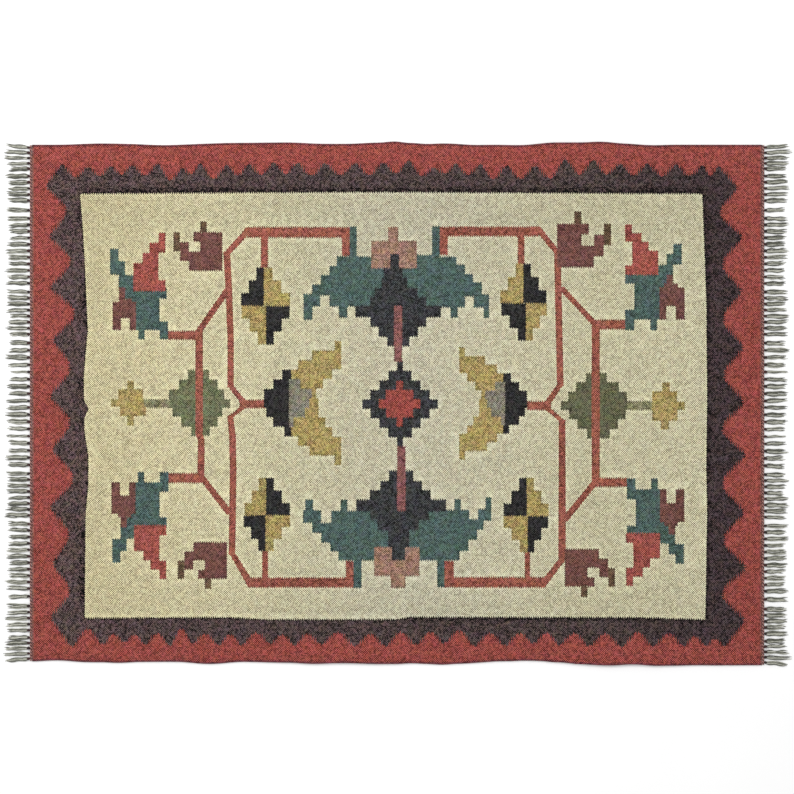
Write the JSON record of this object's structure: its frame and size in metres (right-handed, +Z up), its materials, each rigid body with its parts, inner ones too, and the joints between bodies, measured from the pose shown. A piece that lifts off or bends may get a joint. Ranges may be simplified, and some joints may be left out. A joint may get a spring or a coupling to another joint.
{
  "type": "kilim rug",
  "caption": "Flat-woven rectangular rug with stepped geometric motifs, zigzag borders and knotted warp fringes at both short ends.",
  "frame": {"origin": "centre of the rug's outline with its fringes, on the floor it lies on", "axes": "+X along the length and the warps, +Y across the width along the wefts, +Z up out of the face side"},
  "size_m": [1.8246, 1.2149, 0.0089],
  "materials": {
    "kilim_weave": "weft-faced slit tapestry weave of dyed wool and undyed jute, matt and heathered",
    "warp_yarn": "undyed grey cotton warp yarn, loosely plied and knotted into locks"
  },
  "bodies": {
    "root": {"kilim_body": "kilim_weave", "fringe_left": "warp_yarn", "fringe_right": "warp_yarn"}
  },
  "joints": []
}
